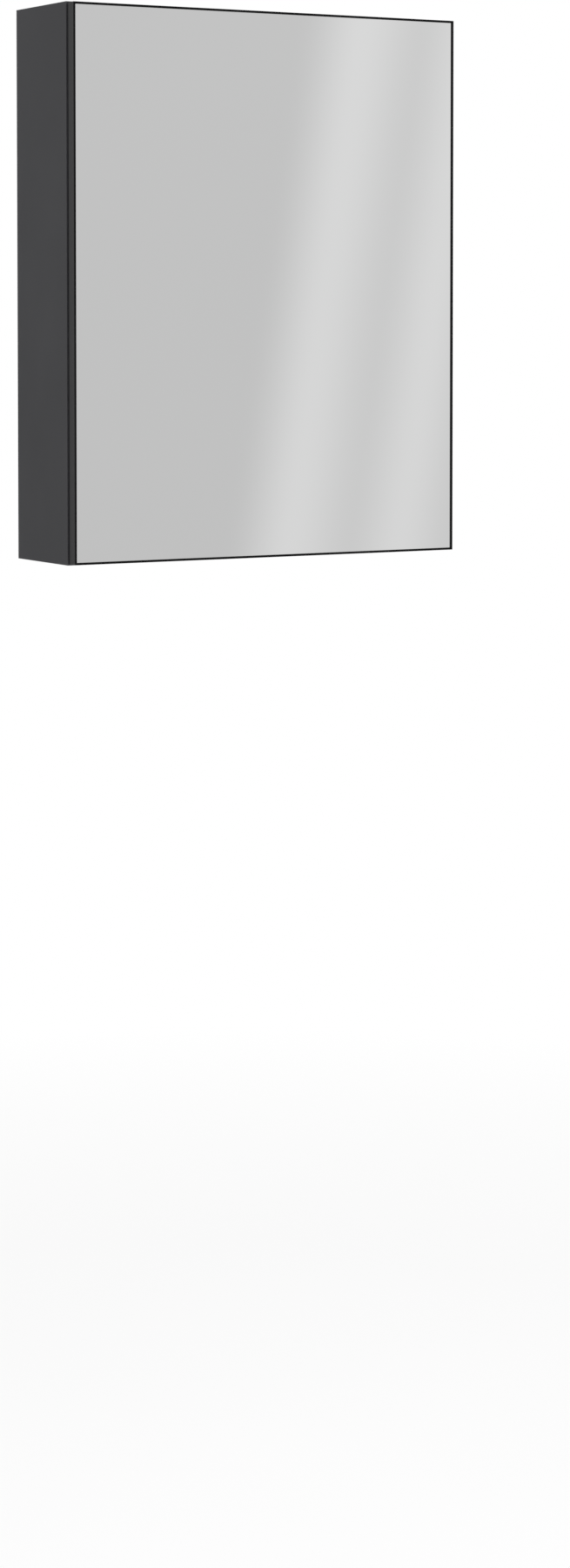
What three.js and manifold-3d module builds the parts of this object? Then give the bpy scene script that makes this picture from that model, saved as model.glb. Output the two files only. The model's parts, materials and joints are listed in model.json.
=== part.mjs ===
// Wall-hung bathroom mirror cabinet. Millimetres, +Z up, front towards -Y, wall plane at y = 0.
// Heights inside the cabinet group are counted from its underside; the group is then lowered so that
// the frame's origin lies on the wall rail's rear face.
import * as THREE from 'three';
import { mergeVertices } from 'three/addons/utils/BufferGeometryUtils.js';
import Module from 'manifold-3d';

const wasm = await Module();
wasm.setup();

// Driving dimensions
const WIDTH = 600;
const HEIGHT = 750;
const CARCASS_DEPTH = 153;
const BOARD = 16;
const DOOR_GAP = 3;
const DOOR_DEPTH = 16;
const DOOR_INSET = 1.5;          // the door is this much smaller than the carcass on each edge
const FIT = 0.3;                 // gap between pieces that meet
const RAIL_HEIGHT = 700;         // of the rail's middle above the underside

// Back panel
const BACK_SETBACK = 18;
const BACK_THICKNESS = 3;
const GROOVE_DEPTH = 5;

// Door
const FRAME_LIP = 3;             // width of the black frame seen from the front
const FRAME_WALL = 1.4;
const LIP_THICKNESS = 1.2;
const MIRROR_THICKNESS = 3;

// Shelves and the pin holes
const SHELF_HEIGHTS = [200, 375, 550];
const SHELF_THICKNESS = 6;
const SHELF_FRONT = -141;
const SHELF_REAR = -23;
const PIN_ROWS = [-120, -45];
const PIN_RADIUS = 2.5;
const PIN_HOLE_RADIUS = 2.8;
const PIN_HOLE_DEPTH = 9;
const PIN_PITCH = 32;

// Hinge, seen from above, on the right side
const HINGE_HEIGHTS = { lower: 100, upper: 650 };
const ARM_PIVOT = [271.25, -147.8];
const CUP_PIVOT = [288.2, -160.2];
const LINK_BENDS = [[274.7, -159.0], [281.4, -162.4]];
const LINK_WIDTH = 3;
const LINK_EYE = 0.5;            // how much wider the link's round ends are than its half width
const LINK_INNER = 4.0;          // the two cheeks lie between these distances from the hinge's middle
const LINK_OUTER = 5.4;
const KNUCKLE = 3.6;             // half the width of the arm's nose and of the cup's lug
const PIVOT_RADIUS = 1.1;
const PIVOT_BORE = 1.4;
const CUP_X = 277;
const CUP_RADIUS = 17.3;
const CUP_INNER = 16.5;
const CUP_DEPTH = 9.6;
const FLANGE = 1.2;

// Wood screws of the hinges
const SHANK_RADIUS = 1.6;
const PILOT_RADIUS = 1.9;
const SLOT_HALF_LENGTH = 2;      // of each bar of a screw's cross recess
const SLOT_HALF_WIDTH = 0.4;

// Worked out
const INNER_X = WIDTH / 2 - BOARD;
const DOOR_REAR = -(CARCASS_DEPTH + DOOR_GAP);
const DOOR_FRONT = DOOR_REAR - DOOR_DEPTH;
const DOOR_X = WIDTH / 2 - DOOR_INSET;
const DOOR_BOTTOM = DOOR_INSET;
const DOOR_TOP = HEIGHT - DOOR_INSET;
const MIRROR_FRONT = DOOR_FRONT + LIP_THICKNESS + FIT;
const MIRROR_REAR = MIRROR_FRONT + MIRROR_THICKNESS;
const DOOR_BOARD_FRONT = MIRROR_REAR + FIT;
const INFILL_EDGE = FRAME_WALL + FIT;
const BACK_REAR = -BACK_SETBACK;
const BACK_FRONT = BACK_REAR - BACK_THICKNESS;

const finish = (color, roughness, metalness, extra = {}) =>
  new THREE.MeshStandardMaterial({ color, roughness, metalness, ...extra });
const anthracite = finish(0x48484a, 0.6, 0);
const blackAluminium = finish(0x1c1c1d, 0.45, 0.6);
const silvered = finish(0xd6dadb, 0.03, 1);
const shelfGlass = finish(0xcfe3dc, 0.05, 0, { transparent: true, opacity: 0.35 });
const steel = finish(0xb9bcbf, 0.3, 1);
const greyPlastic = finish(0x8d9092, 0.5, 0);
const clearRubber = finish(0xe6e8e8, 0.35, 0);

const cabinet = new THREE.Group();
cabinet.position.z = -RAIL_HEIGHT;

function addPiece(name, geometry, material) {
  const mesh = new THREE.Mesh(geometry, material);
  mesh.name = name;
  cabinet.add(mesh);
}

// Solid modelling helpers
function solid(geometry) {
  const bare = geometry.clone();
  bare.deleteAttribute('normal');
  bare.deleteAttribute('uv');
  const merged = mergeVertices(bare, 1e-4);
  return new wasm.Manifold(new wasm.Mesh({
    numProp: 3,
    vertProperties: new Float32Array(merged.attributes.position.array),
    triVerts: new Uint32Array(merged.index.array),
  }));
}

function surface(body) {
  const mesh = body.getMesh();
  const geometry = new THREE.BufferGeometry();
  geometry.setAttribute('position', new THREE.BufferAttribute(new Float32Array(mesh.vertProperties), 3));
  geometry.setIndex(new THREE.BufferAttribute(new Uint32Array(mesh.triVerts), 1));
  geometry.computeVertexNormals();
  return geometry;
}

const join = (first, ...rest) => rest.reduce((sum, next) => sum.add(next), first);
const cut = (first, ...rest) => rest.reduce((left, next) => left.subtract(next), first);

// A box between two corners
function block(x0, x1, y0, y1, z0, z1) {
  const geometry = new THREE.BoxGeometry(x1 - x0, y1 - y0, z1 - z0);
  return solid(geometry.translate((x0 + x1) / 2, (y0 + y1) / 2, (z0 + z1) / 2));
}

// A round bar along one axis, from start to end on that axis; at gives the other two coordinates
function bar(axis, radius, start, end, at, segments = 20) {
  const geometry = new THREE.CylinderGeometry(radius, radius, end - start, segments);
  const middle = (start + end) / 2;
  if (axis === 'x') geometry.rotateZ(Math.PI / 2).translate(middle, at[0], at[1]);
  if (axis === 'y') geometry.translate(at[0], middle, at[1]);
  if (axis === 'z') geometry.rotateX(Math.PI / 2).translate(at[0], at[1], middle);
  return solid(geometry);
}

// An outline in plan, given as [x, y] points, raised between two heights
function plan(points, z0, z1) {
  const outline = new THREE.Shape(points.map(([x, y]) => new THREE.Vector2(x, y)));
  const geometry = new THREE.ExtrudeGeometry(outline, { depth: z1 - z0, bevelEnabled: false });
  return solid(geometry.translate(0, 0, z0));
}

// An outline seen from the front, given as [x, z] points, from y0 back to y1
function elevation(points, y0, y1) {
  const outline = new THREE.Shape(points.map(([x, z]) => new THREE.Vector2(x, z)));
  const geometry = new THREE.ExtrudeGeometry(outline, { depth: y1 - y0, bevelEnabled: false });
  return solid(geometry.rotateX(Math.PI / 2).translate(0, y1, 0));
}

// An outline seen from the side, given as [y, z] points, from x0 to x1
function section(points, x0, x1) {
  const outline = new THREE.Shape(points.map(([y, z]) => new THREE.Vector2(y, z)));
  const geometry = new THREE.ExtrudeGeometry(outline, { depth: x1 - x0, bevelEnabled: false });
  geometry.rotateX(Math.PI / 2).rotateZ(Math.PI / 2);
  return solid(geometry.translate(x0, 0, 0));
}

// Carcass

function pinHoles(side) {
  const inner = side * INNER_X;
  const depthEnd = side * (INNER_X + PIN_HOLE_DEPTH);
  const start = Math.min(inner - side, depthEnd);
  const end = Math.max(inner - side, depthEnd);
  const holes = [];
  for (const shelf of SHELF_HEIGHTS) {
    for (const step of [-1, 0, 1]) {
      for (const row of PIN_ROWS) {
        const z = shelf - PIN_RADIUS - FIT + step * PIN_PITCH;
        holes.push(bar('x', PIN_HOLE_RADIUS, start, end, [row, z], 12));
      }
    }
  }
  return holes;
}

const PLATE_SCREW_Y = -116;
const PLATE_SCREW_RISE = 16;
const PLATE_SCREW_REACH = 10;    // into the side panel

function plateScrewHoles() {
  const holes = [];
  for (const height of Object.values(HINGE_HEIGHTS)) {
    for (const rise of [-PLATE_SCREW_RISE, PLATE_SCREW_RISE]) {
      holes.push(bar('x', PILOT_RADIUS, INNER_X - 1, INNER_X + PLATE_SCREW_REACH + 1,
        [PLATE_SCREW_Y, height + rise], 12));
    }
  }
  return holes;
}

function backGroove() {
  const reach = INNER_X + GROOVE_DEPTH;
  return block(-reach, reach, BACK_FRONT - FIT, BACK_REAR + FIT,
    BOARD - GROOVE_DEPTH, HEIGHT - BOARD + GROOVE_DEPTH);
}

function sidePanel(name, side) {
  const xs = [side * INNER_X, side * WIDTH / 2].sort((a, b) => a - b);
  let panel = block(xs[0], xs[1], -CARCASS_DEPTH, 0, 0, HEIGHT);
  panel = cut(panel, backGroove(), ...pinHoles(side));
  if (side > 0) panel = cut(panel, ...plateScrewHoles());
  addPiece(name, surface(panel), anthracite);
}

function levelPanel(name, z0) {
  const reach = INNER_X - FIT;
  const panel = block(-reach, reach, -CARCASS_DEPTH, 0, z0, z0 + BOARD);
  addPiece(name, surface(cut(panel, backGroove())), anthracite);
}

function backPanel() {
  const tongue = GROOVE_DEPTH - FIT;
  const reach = INNER_X + tongue;
  let panel = block(-reach, reach, BACK_FRONT, BACK_REAR, BOARD - tongue, HEIGHT - BOARD + tongue);
  for (const side of [-1, 1]) panel = cut(panel, hookWindow(side));
  addPiece('back_panel', surface(panel), anthracite);
}

// Wall hangers: a rail on the wall, and in each top corner a housing whose hook reaches through the
// back panel and over the rail's raised lip

const RAIL_HALF_LENGTH = 278;
const RAIL_BOTTOM = RAIL_HEIGHT - 18;
const RAIL_BEND = RAIL_HEIGHT + 12;      // where the strip leaves the wall towards its lip
const RAIL_LIP_FOOT = RAIL_HEIGHT + 17;
const RAIL_LIP_TOP = RAIL_HEIGHT + 24;
const RAIL_THICKNESS = 2;
const RAIL_SCREW_XS = [-200, -100, 100, 200];
const RAIL_SCREW_RADIUS = 3;
const RAIL_SCREW_DROP = 4;
const LIP_REACH = 5;
const HOUSING_INNER = 244;
const HOUSING_OUTER = 282;
const HOUSING_FRONT = -44;
const HOUSING_BOTTOM = 682;
const HOUSING_TOP = 730;
const HOUSING_REAR = BACK_FRONT - FIT;
const COVER_WALL = 1.2;
const HOOK_X = [255, 271];
const SHANK_FRONT = HOUSING_FRONT + 8;
const SHANK_BOTTOM = RAIL_HEIGHT - 5;
const SHANK_TOP = RAIL_HEIGHT + 17;
const HOOK_THICKNESS = 2.5;
const NOSE_THICKNESS = 2;
const NOSE_BOTTOM = RAIL_HEIGHT + 19;
const WINDOW_MARGIN = 4;
const SETTING_SCREW_RADIUS = 3.1;
const SETTING_SCREW_SPREAD = 8;  // of each screw to the side of the hook's middle
const SETTING_SCREW_Z = HOUSING_BOTTOM + 8;
const SETTING_SLOT_HALF_WIDTH = 0.5;

function mirrored(side, x0, x1) {
  return side > 0 ? [x0, x1] : [-x1, -x0];
}

function hookWindow(side) {
  const [x0, x1] = mirrored(side, HOOK_X[0] - WINDOW_MARGIN, HOOK_X[1] + WINDOW_MARGIN);
  return block(x0, x1, BACK_FRONT - 1, BACK_REAR + 1, SHANK_BOTTOM - 3, RAIL_LIP_TOP + 2);
}

function wallRail() {
  const outline = [
    [0, RAIL_BOTTOM], [0, RAIL_BEND], [-LIP_REACH, RAIL_LIP_FOOT], [-LIP_REACH, RAIL_LIP_TOP],
    [-LIP_REACH - RAIL_THICKNESS, RAIL_LIP_TOP], [-LIP_REACH - RAIL_THICKNESS, RAIL_LIP_FOOT - 1],
    [-RAIL_THICKNESS, RAIL_BEND - 1], [-RAIL_THICKNESS, RAIL_BOTTOM],
  ];
  const holes = RAIL_SCREW_XS.map((x) =>
    bar('y', RAIL_SCREW_RADIUS, -RAIL_THICKNESS - 1, 1, [x, RAIL_HEIGHT - RAIL_SCREW_DROP], 16));
  const rail = section(outline, -RAIL_HALF_LENGTH, RAIL_HALF_LENGTH);
  addPiece('wall_rail', surface(cut(rail, ...holes)), steel);
}

// A housing with a slot for the hook's shank and two screw holes in its front
function hangerHousing(suffix, side, hookX, screwXs) {
  const [x0, x1] = mirrored(side, HOUSING_INNER, HOUSING_OUTER);
  const slot = block(hookX[0] - FIT, hookX[1] + FIT, SHANK_FRONT, HOUSING_REAR + 1,
    SHANK_BOTTOM - 1, SHANK_TOP + 1);
  const screwHoles = screwXs.map((x) =>
    bar('y', SETTING_SCREW_RADIUS + FIT, HOUSING_FRONT - 1, HOUSING_FRONT + 6, [x, SETTING_SCREW_Z], 16));
  const body = block(x0, x1, HOUSING_FRONT, HOUSING_REAR, HOUSING_BOTTOM, HOUSING_TOP);
  addPiece(`hanger_housing_${suffix}`, surface(cut(body, slot, ...screwHoles)), greyPlastic);
}

// A shank in the housing, and a nose that drops behind the rail's lip
function hangerHook(suffix, hookX) {
  const front = SHANK_FRONT + FIT;
  const neckRear = -LIP_REACH - RAIL_THICKNESS - FIT;
  const neckFront = neckRear - HOOK_THICKNESS;
  const noseFront = -LIP_REACH + FIT;
  const noseRear = noseFront + NOSE_THICKNESS;
  const under = RAIL_LIP_TOP + FIT;
  const top = RAIL_LIP_TOP + HOOK_THICKNESS;
  const outline = [
    [front, SHANK_BOTTOM], [neckRear, SHANK_BOTTOM], [neckRear, under], [noseFront, under],
    [noseFront, NOSE_BOTTOM], [noseRear, NOSE_BOTTOM], [noseRear, top],
    [neckFront, top], [neckFront, SHANK_TOP], [front, SHANK_TOP],
  ];
  addPiece(`hanger_hook_${suffix}`, surface(section(outline, hookX[0], hookX[1])), steel);
}

// A height or depth screw with a cross recess
function settingScrew(name, x) {
  const z = SETTING_SCREW_Z;
  const front = HOUSING_FRONT + 0.5;
  const [long, wide] = [SLOT_HALF_LENGTH, SETTING_SLOT_HALF_WIDTH];
  const cross = [
    block(x - long, x + long, front - 1, front + 2, z - wide, z + wide),
    block(x - wide, x + wide, front - 1, front + 2, z - long, z + long),
  ];
  const body = bar('y', SETTING_SCREW_RADIUS, front, HOUSING_FRONT + 5.5, [x, z], 20);
  addPiece(name, surface(cut(body, ...cross)), steel);
}

// The clip-on cover over the housing's front, top, bottom and free side
function hangerCover(suffix, side) {
  const [x0, x1] = mirrored(side, HOUSING_INNER, HOUSING_OUTER);
  const clear = FIT + COVER_WALL;
  const outer = side > 0 ? [x0 - clear, x1] : [x0, x1 + clear];
  const inner = side > 0 ? [x0 - FIT, x1 + 1] : [x0 - 1, x1 + FIT];
  const shell = block(outer[0], outer[1], HOUSING_FRONT - clear, HOUSING_REAR,
    HOUSING_BOTTOM - clear, HOUSING_TOP + clear);
  const hollow = block(inner[0], inner[1], HOUSING_FRONT - FIT, HOUSING_REAR + 1,
    HOUSING_BOTTOM - FIT, HOUSING_TOP + FIT);
  addPiece(`hanger_cover_${suffix}`, surface(cut(shell, hollow)), greyPlastic);
}

function hanger(suffix, side) {
  const hookX = mirrored(side, ...HOOK_X);
  const hookMiddle = (hookX[0] + hookX[1]) / 2;
  const screwXs = [hookMiddle - SETTING_SCREW_SPREAD, hookMiddle + SETTING_SCREW_SPREAD];
  hangerHousing(suffix, side, hookX, screwXs);
  hangerHook(suffix, hookX);
  settingScrew(`height_screw_${suffix}`, screwXs[0]);
  settingScrew(`depth_screw_${suffix}`, screwXs[1]);
  hangerCover(suffix, side);
}

// Shelves on pins

const SHELF_END_GAP = 1.2;
const PIN_TONGUE = 10;           // how far a pin reaches under the glass
const PIN_SHANK = 8;             // and into the side panel
const COLLAR_RADIUS = 4;
const COLLAR_FACE = 1.1;
const COLLAR_DROP = 1.6;

function shelves() {
  const reach = INNER_X - SHELF_END_GAP;
  const shelfNames = ['lower', 'middle', 'upper'];
  SHELF_HEIGHTS.forEach((height, index) => {
    const name = shelfNames[index];
    const shelf = block(-reach, reach, SHELF_FRONT, SHELF_REAR, height, height + SHELF_THICKNESS);
    addPiece(`shelf_${name}`, surface(shelf), shelfGlass);
    for (const [sideName, side] of [['left', -1], ['right', 1]]) {
      addPiece(`shelf_pin_${name}_${sideName}_front`, shelfPin(side, PIN_ROWS[0], height), steel);
      addPiece(`shelf_pin_${name}_${sideName}_rear`, shelfPin(side, PIN_ROWS[1], height), steel);
    }
  });
}

// A round peg in the panel with a collar and a flat-topped tongue under the glass
function shelfPin(side, row, height) {
  const z = height - PIN_RADIUS - FIT;
  const span = (from, to) => [side * from, side * to].sort((a, b) => a - b);
  const peg = bar('x', PIN_RADIUS, ...span(INNER_X - PIN_TONGUE, INNER_X + PIN_SHANK), [row, z], 16);
  const collar = bar('x', COLLAR_RADIUS, ...span(INNER_X - COLLAR_FACE, INNER_X - FIT),
    [row, z - COLLAR_DROP], 20);
  const clearTop = block(-WIDTH, WIDTH, row - 20, row + 20, height - FIT, height + 20);
  return surface(cut(join(peg, collar), clearTop));
}

// Door

// One mitred side of a frame, as an outline seen from the front
function mitredStrip(edge, width) {
  const left = -DOOR_X;
  const right = DOOR_X;
  const slack = FIT / 2;
  const corners = {
    bottom: [[left + slack, DOOR_BOTTOM], [right - slack, DOOR_BOTTOM],
      [right - width - slack, DOOR_BOTTOM + width], [left + width + slack, DOOR_BOTTOM + width]],
    top: [[left + width + slack, DOOR_TOP - width], [right - width - slack, DOOR_TOP - width],
      [right - slack, DOOR_TOP], [left + slack, DOOR_TOP]],
    left: [[left, DOOR_BOTTOM + slack], [left + width, DOOR_BOTTOM + width + slack],
      [left + width, DOOR_TOP - width - slack], [left, DOOR_TOP - slack]],
    right: [[right, DOOR_BOTTOM + slack], [right, DOOR_TOP - slack],
      [right - width, DOOR_TOP - width - slack], [right - width, DOOR_BOTTOM + width + slack]],
  };
  return corners[edge];
}

function doorFrame() {
  for (const edge of ['left', 'right', 'top', 'bottom']) {
    const wall = elevation(mitredStrip(edge, FRAME_WALL), DOOR_FRONT, DOOR_REAR);
    const lip = elevation(mitredStrip(edge, FRAME_LIP), DOOR_FRONT, DOOR_FRONT + LIP_THICKNESS);
    addPiece(`door_frame_${edge}`, surface(join(wall, lip)), blackAluminium);
  }
}

const CUP_SCREW_X = CUP_X - 5;
const CUP_SCREW_RISE = 22.6;
const CUP_SCREW_REACH = 7.5;     // into the door's board

function doorInfill() {
  const reach = DOOR_X - INFILL_EDGE;
  const z0 = DOOR_BOTTOM + INFILL_EDGE;
  const z1 = DOOR_TOP - INFILL_EDGE;
  addPiece('mirror_glass', surface(block(-reach, reach, MIRROR_FRONT, MIRROR_REAR, z0, z1)), silvered);

  let board = block(-reach, reach, DOOR_BOARD_FRONT, DOOR_REAR, z0, z1);
  for (const height of Object.values(HINGE_HEIGHTS)) {
    const boreFront = DOOR_REAR - CUP_DEPTH - FIT;
    board = cut(board, bar('y', CUP_RADIUS + FIT, boreFront, DOOR_REAR + 1, [CUP_X, height], 40));
    for (const rise of [-CUP_SCREW_RISE, CUP_SCREW_RISE]) {
      const at = [CUP_SCREW_X, height + rise];
      board = cut(board, bar('y', PILOT_RADIUS, DOOR_REAR - CUP_SCREW_REACH - 0.5, DOOR_REAR + 1, at, 12));
    }
  }
  addPiece('door_board', surface(board), anthracite);
}

// Domed bumpers, as radius and height above the door's rear face
const BUMPER_PROFILE = [[0, 0], [4, 0], [4, 0.7], [3.2, 1.35], [1.6, 1.65], [0, 1.7]];
const BUMPER_SIDE_INSET = 7.5;
const BUMPER_END_INSET = 30;

function bumpers() {
  const x = -(DOOR_X - BUMPER_SIDE_INSET);
  const points = BUMPER_PROFILE.map(([r, h]) => new THREE.Vector2(r, h));
  for (const [name, height] of [['lower', BUMPER_END_INSET], ['upper', HEIGHT - BUMPER_END_INSET]]) {
    const dome = new THREE.LatheGeometry(points, 20).translate(x, DOOR_REAR + FIT, height);
    addPiece(`bumper_${name}`, surface(solid(dome)), clearRubber);
  }
}

// Hinges

const ARM_X = [266.5, 274.7];
const ARM_Y = [-142, -64];
const ARM_HALF_HEIGHT = 7.5;
const ARM_GROOVE_Y = [-132, -110];
const ARM_GROOVE_HALF_HEIGHT = 4;
const NOSE_RADIUS = 2.8;
const NOSE_ROOT_Y = -140;
const PLATE_X = [275, INNER_X - FIT];
const PLATE_Y = [-128, -62];
const PLATE_HALF_HEIGHT = 8.5;
const WING_THICKNESS = 3;
const WING_HALF_WIDTH = 7;
const WING_HALF_HEIGHT = 24;
const ARM_SCREWS = { fixing: -76, side_adjust: -100 };
const ARM_SCREW_RADIUS = 2;
const ARM_SCREW_HEAD = 3.6;
const ARM_SCREW_REACH = 5;       // into the plate
const PLATE_SCREW_HEAD = 3.4;
const HEAD_THICKNESS = 1.8;
const CUP_SCREW_HEAD = 3.2;
const CUP_HEAD_THICKNESS = 1.4;
const RING_WIDTH = 1.4;          // the rim round the pot's mouth
const POT_FLOOR = 0.8;
const LUG_RADIUS = 2.6;
const CUP_WING_X = [CUP_SCREW_X - 5.5, CUP_SCREW_X + 12];
const CUP_WING_HALF_HEIGHT = 27;

// The strip of LINK_WIDTH along a line of points, between two heights, with round ends
function strip(points, z0, z1) {
  const pieces = [];
  points.forEach(([x, y], index) => {
    const isEnd = index === 0 || index === points.length - 1;
    pieces.push(bar('z', LINK_WIDTH / 2 + (isEnd ? LINK_EYE : 0), z0, z1, [x, y], 20));
    if (index === 0) return;
    const [px, py] = points[index - 1];
    const length = Math.hypot(x - px, y - py);
    const [nx, ny] = [-(y - py) / length * LINK_WIDTH / 2, (x - px) / length * LINK_WIDTH / 2];
    pieces.push(plan([[px - nx, py - ny], [x - nx, y - ny], [x + nx, y + ny], [px + nx, py + ny]], z0, z1));
  });
  return join(...pieces);
}

function hingeLink(suffix, height) {
  const path = [ARM_PIVOT, ...LINK_BENDS, CUP_PIVOT];
  const upper = strip(path, height + LINK_INNER, height + LINK_OUTER);
  const lower = strip(path, height - LINK_OUTER, height - LINK_INNER);
  const pins = [ARM_PIVOT, CUP_PIVOT].map((at) =>
    bar('z', PIVOT_RADIUS, height - LINK_OUTER, height + LINK_OUTER, at, 20));
  addPiece(`hinge_link_${suffix}`, surface(join(upper, lower, ...pins)), steel);
}

function hingeCup(suffix, height) {
  const floor = DOOR_REAR - CUP_DEPTH;
  const rim = DOOR_REAR + FIT;
  const flangeTop = rim + FLANGE;
  const at = [CUP_X, height];
  const pot = bar('y', CUP_RADIUS, floor, rim + 0.2, at, 40);
  const [wingLow, wingHigh] = [height - CUP_WING_HALF_HEIGHT, height + CUP_WING_HALF_HEIGHT];
  const wings = block(...CUP_WING_X, rim, flangeTop, wingLow, wingHigh);
  const hingeSide = block(CUP_X + CUP_INNER - 1, DOOR_X, rim - 1, flangeTop + 1, wingLow, wingHigh);
  const ring = cut(bar('y', CUP_RADIUS + RING_WIDTH, rim, flangeTop, at, 40), hingeSide);
  const hollow = bar('y', CUP_INNER, floor + POT_FLOOR, flangeTop + 1, at, 40);
  const [px, py] = CUP_PIVOT;
  const lug = join(
    bar('z', LUG_RADIUS, height - KNUCKLE, height + KNUCKLE, CUP_PIVOT, 20),
    block(px - LUG_RADIUS, px + LUG_RADIUS, floor + POT_FLOOR / 2, py, height - KNUCKLE, height + KNUCKLE));
  const holes = [-CUP_SCREW_RISE, CUP_SCREW_RISE].map((rise) =>
    bar('y', PILOT_RADIUS, rim - 1, flangeTop + 1, [CUP_SCREW_X, height + rise], 12));
  const bore = bar('z', PIVOT_BORE, height - KNUCKLE - 1, height + KNUCKLE + 1, CUP_PIVOT, 20);
  const cup = cut(join(cut(join(pot, wings, ring), hollow), lug), bore, ...holes);
  addPiece(`hinge_cup_${suffix}`, surface(cup), steel);
}

function hingeArm(suffix, height) {
  const [px, py] = ARM_PIVOT;
  const body = block(...ARM_X, ...ARM_Y, height - ARM_HALF_HEIGHT, height + ARM_HALF_HEIGHT);
  const cheeks = [
    [ARM_X[0], NOSE_ROOT_Y], [px - NOSE_RADIUS, py], [px + NOSE_RADIUS, py], [ARM_X[1], NOSE_ROOT_Y],
  ];
  const nose = join(plan(cheeks, height - KNUCKLE, height + KNUCKLE),
    bar('z', NOSE_RADIUS, height - KNUCKLE, height + KNUCKLE, ARM_PIVOT, 20));
  const bore = bar('z', PIVOT_BORE, height - KNUCKLE - 1, height + KNUCKLE + 1, ARM_PIVOT, 20);
  const screwHoles = Object.values(ARM_SCREWS).map((y) =>
    bar('x', ARM_SCREW_RADIUS + FIT, ARM_X[0] - 1, ARM_X[1] + 1, [y, height], 16));
  const groove = block(ARM_X[0] - 1, ARM_X[0] + 1, ...ARM_GROOVE_Y,
    height - ARM_GROOVE_HALF_HEIGHT, height + ARM_GROOVE_HALF_HEIGHT);
  addPiece(`hinge_arm_${suffix}`, surface(cut(join(body, nose), bore, groove, ...screwHoles)), steel);
}

function hingePlate(suffix, height) {
  const body = block(...PLATE_X, ...PLATE_Y, height - PLATE_HALF_HEIGHT, height + PLATE_HALF_HEIGHT);
  const wings = block(PLATE_X[1] - WING_THICKNESS, PLATE_X[1],
    PLATE_SCREW_Y - WING_HALF_WIDTH, PLATE_SCREW_Y + WING_HALF_WIDTH,
    height - WING_HALF_HEIGHT, height + WING_HALF_HEIGHT);
  const wallHoles = [-PLATE_SCREW_RISE, PLATE_SCREW_RISE].map((rise) =>
    bar('x', PILOT_RADIUS, PLATE_X[0], PLATE_X[1] + 1, [PLATE_SCREW_Y, height + rise], 12));
  const armHoles = Object.values(ARM_SCREWS).map((y) =>
    bar('x', ARM_SCREW_RADIUS + FIT, PLATE_X[0] - 1, PLATE_X[0] + ARM_SCREW_REACH + 1, [y, height], 16));
  addPiece(`hinge_plate_${suffix}`, surface(cut(join(body, wings), ...wallHoles, ...armHoles)), steel);
}

// A screw along X whose head faces the middle of the cabinet
function screwAlongX(name, seatX, tipX, y, z, headRadius, shankRadius) {
  const recess = [seatX - HEAD_THICKNESS - 1, seatX - HEAD_THICKNESS / 2];
  const head = bar('x', headRadius, seatX - HEAD_THICKNESS, seatX, [y, z], 20);
  const shank = bar('x', shankRadius, seatX - 0.5, tipX, [y, z], 16);
  const slots = [
    block(...recess, y - SLOT_HALF_WIDTH, y + SLOT_HALF_WIDTH, z - SLOT_HALF_LENGTH, z + SLOT_HALF_LENGTH),
    block(...recess, y - SLOT_HALF_LENGTH, y + SLOT_HALF_LENGTH, z - SLOT_HALF_WIDTH, z + SLOT_HALF_WIDTH),
  ];
  addPiece(name, surface(cut(join(head, shank), ...slots)), steel);
}

// A screw along Y through the cup's wing, whose head faces the cabinet
function cupScrew(name, z) {
  const x = CUP_SCREW_X;
  const seat = DOOR_REAR + FIT + FLANGE + FIT;
  const recess = [seat + CUP_HEAD_THICKNESS - 0.8, seat + CUP_HEAD_THICKNESS + 1];
  const head = bar('y', CUP_SCREW_HEAD, seat, seat + CUP_HEAD_THICKNESS, [x, z], 20);
  const shank = bar('y', SHANK_RADIUS, DOOR_REAR - CUP_SCREW_REACH, seat + 0.5, [x, z], 16);
  const slots = [
    block(x - SLOT_HALF_LENGTH, x + SLOT_HALF_LENGTH, ...recess, z - SLOT_HALF_WIDTH, z + SLOT_HALF_WIDTH),
    block(x - SLOT_HALF_WIDTH, x + SLOT_HALF_WIDTH, ...recess, z - SLOT_HALF_LENGTH, z + SLOT_HALF_LENGTH),
  ];
  addPiece(name, surface(cut(join(head, shank), ...slots)), steel);
}

function hingeScrews(suffix, height) {
  for (const [name, y] of Object.entries(ARM_SCREWS)) {
    screwAlongX(`hinge_${name}_screw_${suffix}`, ARM_X[0] - FIT, PLATE_X[0] + ARM_SCREW_REACH,
      y, height, ARM_SCREW_HEAD, ARM_SCREW_RADIUS);
  }
  for (const [end, sign] of [['bottom', -1], ['top', 1]]) {
    screwAlongX(`plate_screw_${suffix}_${end}`, PLATE_X[1] - WING_THICKNESS - FIT,
      INNER_X + PLATE_SCREW_REACH, PLATE_SCREW_Y, height + sign * PLATE_SCREW_RISE,
      PLATE_SCREW_HEAD, SHANK_RADIUS);
    cupScrew(`cup_screw_${suffix}_${end}`, height + sign * CUP_SCREW_RISE);
  }
}

sidePanel('side_panel_left', -1);
sidePanel('side_panel_right', 1);
levelPanel('bottom_panel', 0);
levelPanel('top_panel', HEIGHT - BOARD);
backPanel();
wallRail();
hanger('left', -1);
hanger('right', 1);
shelves();
doorFrame();
doorInfill();
bumpers();
for (const [suffix, height] of Object.entries(HINGE_HEIGHTS)) {
  hingePlate(suffix, height);
  hingeArm(suffix, height);
  hingeLink(suffix, height);
  hingeCup(suffix, height);
  hingeScrews(suffix, height);
}

const group = new THREE.Group();
group.add(cabinet);

export default group;
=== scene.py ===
import json
import math

import bmesh
import bpy
from mathutils import Matrix, Vector


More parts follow.
